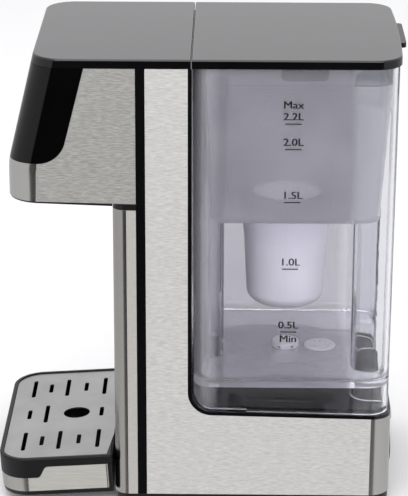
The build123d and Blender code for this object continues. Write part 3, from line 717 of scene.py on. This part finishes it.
def make_world():
    """Studio surround: bright above and straight below, dimmer between, a black flag at the right."""
    world = bpy.data.worlds.new("studio surround")
    world.use_nodes = True
    tree = world.node_tree
    tree.nodes.clear()
    place = add_node(tree, "ShaderNodeTexCoord")
    parts = add_node(tree, "ShaderNodeSeparateXYZ", {0: place.outputs["Generated"]})
    height = add_node(
        tree,
        "ShaderNodeMapRange",
        {
            "Value": parts.outputs["Z"],
            "From Min": -0.1,
            "From Max": 0.2,
            "To Min": LOW_LEVEL,
            "To Max": HIGH_LEVEL,
        },
        interpolation_type="SMOOTHSTEP",
    )
    right = add_node(
        tree,
        "ShaderNodeMapRange",
        {"Value": parts.outputs["X"], "From Min": 0.77, "From Max": 0.83},
        interpolation_type="SMOOTHSTEP",
    )
    below = add_node(
        tree,
        "ShaderNodeMapRange",
        {"Value": parts.outputs["Z"], "From Min": -0.56, "From Max": -0.5},
        interpolation_type="SMOOTHSTEP",
    )
    above = add_node(
        tree,
        "ShaderNodeMapRange",
        {"Value": parts.outputs["Z"], "From Min": 0.0, "From Max": 0.1, "To Min": 1.0, "To Max": 0.0},
        interpolation_type="SMOOTHSTEP",
    )
    between = add_node(
        tree, "ShaderNodeMath", {0: below.outputs[0], 1: above.outputs[0]}, operation="MULTIPLY"
    )
    flag = add_node(
        tree, "ShaderNodeMath", {0: right.outputs[0], 1: between.outputs[0]}, operation="MULTIPLY"
    )
    bounce = add_node(
        tree,
        "ShaderNodeMapRange",
        {
            "Value": parts.outputs["Z"],
            "From Min": -0.5,
            "From Max": -0.6,
            "To Min": 0.0,
            "To Max": BOUNCE_LEVEL,
        },
        interpolation_type="SMOOTHSTEP",
    )
    surround = add_node(
        tree, "ShaderNodeMath", {0: height.outputs[0], 1: bounce.outputs[0]}, operation="ADD"
    )
    level = add_node(
        tree, "ShaderNodeMix", {"Factor": flag.outputs[0], 2: surround.outputs[0], 3: FLAG_LEVEL}
    )
    light = add_node(
        tree,
        "ShaderNodeBackground",
        {"Color": linear(SURROUND_COLOUR), "Strength": level.outputs[0]},
    )
    add_node(tree, "ShaderNodeOutputWorld", {"Surface": light.outputs[0]})
    bpy.context.scene.world = world


def soft_light(name, place, width, height, power):
    """A soft box aimed at the dispenser."""
    lamp = bpy.data.lights.new(name, "AREA")
    lamp.shape = "RECTANGLE"
    lamp.size = width
    lamp.size_y = height
    lamp.energy = power
    holder = bpy.data.objects.new(name, lamp)
    holder.location = place
    aim = Vector(LAMP_TARGET) - Vector(place)
    holder.rotation_euler = aim.to_track_quat("-Z", "Y").to_euler()
    bpy.context.scene.collection.objects.link(holder)


def make_lights():
    """A large soft box above the camera and a small one overhead."""
    soft_light("high key", (2.7, 0.0, 1.75), 3.6, 1.7, 62)
    soft_light("overhead", (-0.1, -0.1, 1.7), 1.2, 1.2, 12)


def make_camera():
    """Long lens from the right, looking down a little."""
    data = bpy.data.cameras.new("camera")
    data.lens = LENS
    data.sensor_width = 36.0
    data.clip_start = 0.01
    camera = bpy.data.objects.new("camera", data)
    camera.location = CAMERA_PLACE
    heading = Matrix.Rotation(CAMERA_HEADING, 4, "Z")
    pitch = Matrix.Rotation(math.pi / 2 - CAMERA_PITCH, 4, "X")
    roll = Matrix.Rotation(CAMERA_ROLL, 4, "Z")
    camera.rotation_euler = (heading @ pitch @ roll).to_euler()
    bpy.context.scene.collection.objects.link(camera)
    bpy.context.scene.camera = camera
    bpy.context.scene.view_settings.view_transform = "Standard"
    cycles = bpy.context.scene.cycles
    cycles.max_bounces = 24
    cycles.glossy_bounces = 16
    cycles.transmission_bounces = 24
    cycles.transparent_max_bounces = 24


class DISPENSER_OT_finishes(bpy.types.Operator):
    """Gives every frame node its finish"""

    bl_idname = "dispenser.finishes"
    bl_label = "Finishes"

    def execute(self, context):
        MATERIALS.update(make_materials(settings()))
        dressed = set()
        for finish, names in NODE_FINISH.items():
            for name in names:
                node = frame["nodes"][name]
                node.data.materials.clear()
                node.data.materials.append(MATERIALS[finish])
                dressed.add(name)
        bare = set(frame["nodes"]) - dressed
        if bare:
            raise RuntimeError(f"nodes with no finish: {sorted(bare)}")
        return {"FINISHED"}


def rounded(name, width):
    """Replaces a frame node by a copy with rounded edges, which catch the light in thin lines."""
    node = frame["nodes"][name]
    piece = bpy.data.objects.new(name + "_rounded", node.data.copy())
    bpy.context.scene.collection.objects.link(piece)
    piece.matrix_world = node.matrix_world.copy()
    edges = piece.modifiers.new("edges", "BEVEL")
    edges.width = width
    edges.segments = 2
    edges.limit_method = "ANGLE"
    edges.angle_limit = EDGE_ANGLE
    edges.harden_normals = True
    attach(piece, body_of(node)[0])
    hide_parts(name)


class DISPENSER_OT_edges(bpy.types.Operator):
    """Rounds the edges of the pressed and moulded outer pieces"""

    bl_idname = "dispenser.edges"
    bl_label = "Rounded edges"

    def execute(self, context):
        moulded = settings().edge_round
        pressed = 0.5 * moulded
        for name in ("top_cover", "lid_top", "bay_liner", "drip_pan", "control_glass"):
            rounded(name, moulded)
        for name in ("steel_side_right", "steel_side_left", "head_shell", "column_front", "grille"):
            rounded(name, pressed)
        return {"FINISHED"}


class DISPENSER_OT_volume_marks(bpy.types.Operator):
    """Printed volume scale on the tank's right wall"""

    bl_idname = "dispenser.volume_marks"
    bl_label = "Volume marks"

    def execute(self, context):
        sizes = settings()
        low, high = corners("tank_body")
        meshes = []
        for height, figure, word, shift in MARKS:
            y = low.y + MARK_BEHIND_FRONT + shift * MM
            z = height * MM
            meshes.append(bar(sizes.mark_line, MARK_THICK, INK_THICK, wall_place(y, z)))
            meshes += bold(figure, sizes.mark_height, y, z + FIGURE_ABOVE)
            if word:
                meshes += bold(word, sizes.mark_height, y, z + WORD_PLACE[word])
        print_piece("volume_marks", "tank", MATERIALS["ink"], meshes)
        return {"FINISHED"}


def bold(text, height, y, z):
    """Meshes of a line of text printed twice, a stroke's half apart, which thickens it."""
    apart = STROKE_SHIFT * height
    return [lettering(text, height, wall_place(y + shift, z)) for shift in (-apart, apart)]


def wall_place(y, z):
    """Matrix that lays a drawing on the tank's right wall at a point."""
    low, high = corners("tank_body")
    x = high.x - (high.z - z) * WALL_LEAN + PRINT_LIFT
    upright = Matrix.Rotation(math.pi / 2, 4, "Z") @ Matrix.Rotation(math.pi / 2, 4, "X")
    return Matrix.Translation((x, y, z)) @ upright


class DISPENSER_PT_panel(bpy.types.Panel):
    """Lists the pieces of the dispenser's looks"""

    bl_idname = "DISPENSER_PT_panel"
    bl_label = "Dispenser"
    bl_space_type = "VIEW_3D"
    bl_region_type = "UI"
    bl_category = "Dispenser"

    def draw(self, context):
        sizes = context.scene.dispenser
        for name in ("mark_height", "mark_line", "edge_round", "tank_tint_hex", "backdrop"):
            self.layout.prop(sizes, name)
        for operator in OPERATORS:
            self.layout.operator(operator.bl_idname)


OPERATORS = (
    DISPENSER_OT_stage,
    DISPENSER_OT_finishes,
    DISPENSER_OT_edges,
    DISPENSER_OT_volume_marks,
)
CLASSES = (DispenserSettings, *OPERATORS, DISPENSER_PT_panel)


def register():
    for cls in CLASSES:
        bpy.utils.register_class(cls)
    bpy.types.Scene.dispenser = bpy.props.PointerProperty(type=DispenserSettings)


def unregister():
    del bpy.types.Scene.dispenser
    for cls in reversed(CLASSES):
        bpy.utils.unregister_class(cls)


def main():
    """Dresses the dispenser."""
    register()
    bpy.ops.dispenser.stage()
    bpy.ops.dispenser.finishes()
    bpy.ops.dispenser.edges()
    bpy.ops.dispenser.volume_marks()


if __name__ == "__main__":
    main()
